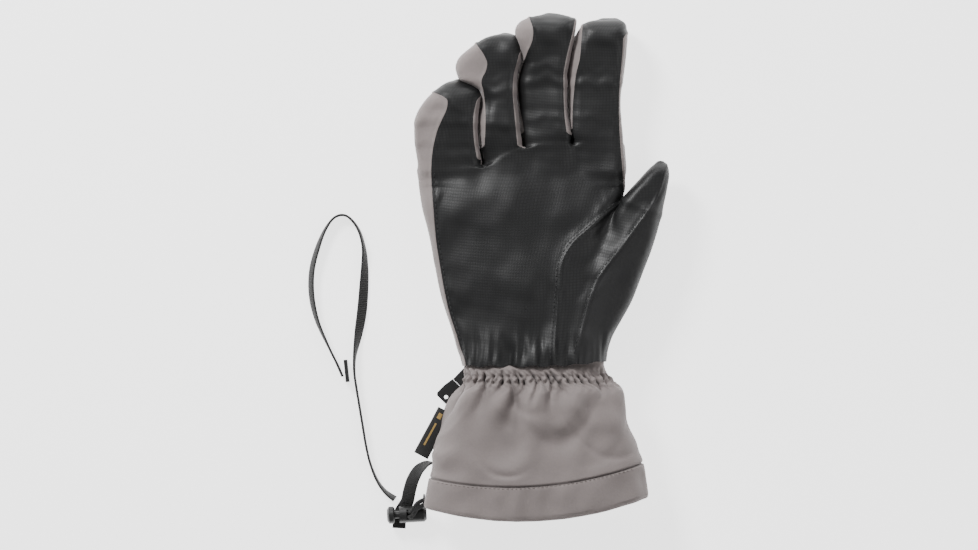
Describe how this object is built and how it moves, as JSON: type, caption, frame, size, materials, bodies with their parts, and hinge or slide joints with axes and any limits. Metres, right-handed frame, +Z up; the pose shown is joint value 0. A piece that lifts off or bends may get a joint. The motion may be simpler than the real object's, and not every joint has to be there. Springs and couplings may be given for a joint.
{
  "type": "ski glove",
  "caption": "Insulated five-finger gauntlet ski glove, palm up, with bending fingers and wrist, a wrist strap, a hem drawcord with a cord lock, and a wrist leash.",
  "frame": {"origin": "on the surface that the glove lies on, under the middle of its bounding box", "axes": "+Y from the cuff to the fingertips, +X to the thumb side, +Z up out of the palm; the glove lies on its back"},
  "size_m": [0.2184, 0.3139, 0.0456],
  "materials": {
    "palm_leather": "fine square emboss, soft sheen",
    "shell_fabric": "smooth woven softshell, matte",
    "softshell": "smooth matte softshell",
    "fleece_lining": "brushed fleece",
    "elastic": "braided elastic",
    "webbing": "woven webbing",
    "label_fabric": "woven label with a plain gold mark",
    "black_plastic": "moulded, satin",
    "spring_steel": "drawn wire"
  },
  "bodies": {
    "hand": {"hand_palm_panel": "palm_leather", "hand_back_panel": "shell_fabric", "hand_liner": "fleece_lining", "finger_webs": "shell_fabric", "wrist_gather": "shell_fabric", "wrist_elastic": "elastic", "wrist_strap": "webbing", "ladder_lock": "black_plastic"},
    "little_base": {"little_base_palm": "palm_leather", "little_base_back": "shell_fabric", "little_base_liner": "fleece_lining", "little_flex_zones": "palm_leather"},
    "little_tip": {"little_tip_palm": "palm_leather", "little_tip_back": "shell_fabric", "little_tip_liner": "fleece_lining"},
    "ring_base": {"ring_base_palm": "palm_leather", "ring_base_back": "shell_fabric", "ring_base_liner": "fleece_lining", "ring_flex_zones": "palm_leather"},
    "ring_tip": {"ring_tip_palm": "palm_leather", "ring_tip_back": "shell_fabric", "ring_tip_liner": "fleece_lining"},
    "middle_base": {"middle_base_palm": "palm_leather", "middle_base_back": "shell_fabric", "middle_base_liner": "fleece_lining", "middle_flex_zones": "palm_leather"},
    "middle_tip": {"middle_tip_palm": "palm_leather", "middle_tip_back": "shell_fabric", "middle_tip_liner": "fleece_lining"},
    "index_base": {"index_base_palm": "palm_leather", "index_base_back": "shell_fabric", "index_base_liner": "fleece_lining", "index_flex_zones": "palm_leather"},
    "index_tip": {"index_tip_palm": "palm_leather", "index_tip_back": "shell_fabric", "index_tip_liner": "fleece_lining"},
    "thumb_base": {"thumb_base_palm": "palm_leather", "thumb_base_back": "softshell", "thumb_base_liner": "fleece_lining", "thumb_flex_zones": "palm_leather"},
    "thumb_tip": {"thumb_tip_palm": "palm_leather", "thumb_tip_back": "softshell", "thumb_tip_liner": "fleece_lining"},
    "cuff": {"cuff_palm_panel": "shell_fabric", "cuff_back_panel": "shell_fabric", "cuff_lining": "fleece_lining", "cuff_hem": "shell_fabric", "drawcord": "elastic", "drawcord_eyelet": "black_plastic", "cord_tether": "webbing", "lock_barrel": "black_plastic", "lock_spring": "spring_steel", "side_label": "label_fabric", "leash_webbing": "webbing"},
    "plunger": {"lock_plunger": "black_plastic"},
    "pull": {"pull_strap": "webbing", "pull_tab": "black_plastic"},
    "slider": {"leash_slider": "black_plastic"}
  },
  "joints": [
    {"name": "little_knuckle", "type": "hinge", "parent": "hand", "child": "little_base", "pos_m": [-0.04968, 0.071, 0.0235], "axis": [1, 0, 0], "range_deg": [-8, 80], "deforming": ["little_flex_zones"]},
    {"name": "little_middle_joint", "type": "hinge", "parent": "little_base", "child": "little_tip", "pos_m": [-0.049, 0.092, 0.0235], "axis": [1, 0, 0], "range_deg": [-5, 85], "deforming": ["little_flex_zones"]},
    {"name": "ring_knuckle", "type": "hinge", "parent": "hand", "child": "ring_base", "pos_m": [-0.01888, 0.08, 0.0235], "axis": [1, 0, 0], "range_deg": [-8, 80], "deforming": ["ring_flex_zones"]},
    {"name": "ring_middle_joint", "type": "hinge", "parent": "ring_base", "child": "ring_tip", "pos_m": [-0.01873, 0.109, 0.0235], "axis": [1, 0, 0], "range_deg": [-5, 85], "deforming": ["ring_flex_zones"]},
    {"name": "middle_knuckle", "type": "hinge", "parent": "hand", "child": "middle_base", "pos_m": [0.00802, 0.084, 0.0235], "axis": [1, 0, 0], "range_deg": [-8, 80], "deforming": ["middle_flex_zones"]},
    {"name": "middle_middle_joint", "type": "hinge", "parent": "middle_base", "child": "middle_tip", "pos_m": [0.00816, 0.116, 0.0235], "axis": [1, 0, 0], "range_deg": [-5, 85], "deforming": ["middle_flex_zones"]},
    {"name": "index_knuckle", "type": "hinge", "parent": "hand", "child": "index_base", "pos_m": [0.04144, 0.084, 0.0235], "axis": [1, 0, 0], "range_deg": [-8, 80], "deforming": ["index_flex_zones"]},
    {"name": "index_middle_joint", "type": "hinge", "parent": "index_base", "child": "index_tip", "pos_m": [0.04192, 0.114, 0.0235], "axis": [1, 0, 0], "range_deg": [-5, 85], "deforming": ["index_flex_zones"]},
    {"name": "thumb_root", "type": "hinge", "parent": "hand", "child": "thumb_base", "pos_m": [0.063, 0.042, 0.033], "axis": [0.0357, -0.9994, 0], "range_deg": [0, 35], "deforming": ["thumb_flex_zones"]},
    {"name": "thumb_middle_joint", "type": "hinge", "parent": "thumb_base", "child": "thumb_tip", "pos_m": [0.07163, 0.04298, 0.0275], "axis": [0.9262, -0.377, 0], "range_deg": [-5, 60], "deforming": ["thumb_flex_zones"]},
    {"name": "wrist", "type": "hinge", "parent": "hand", "child": "cuff", "pos_m": [0.0035, -0.064, 0.0221], "axis": [1, 0, 0], "range_deg": [-30, 8], "deforming": ["wrist_gather", "wrist_elastic"]},
    {"name": "cord_lock_plunger", "type": "slide", "parent": "cuff", "child": "plunger", "axis": [0.9986, 0.0523, 0], "range_m": [0, 0.0024], "stiffness_N_per_m": 600, "springref_m": -0.002, "deforming": ["lock_spring"]},
    {"name": "strap_pull", "type": "slide", "parent": "hand", "child": "pull", "axis": [-0.6947, -0.7193, 0], "range_m": [0, 0.012]},
    {"name": "leash_slider", "type": "slide", "parent": "cuff", "child": "slider", "axis": [-0.1045, 0.9945, 0], "range_m": [-0.006, 0.004]}
  ]
}
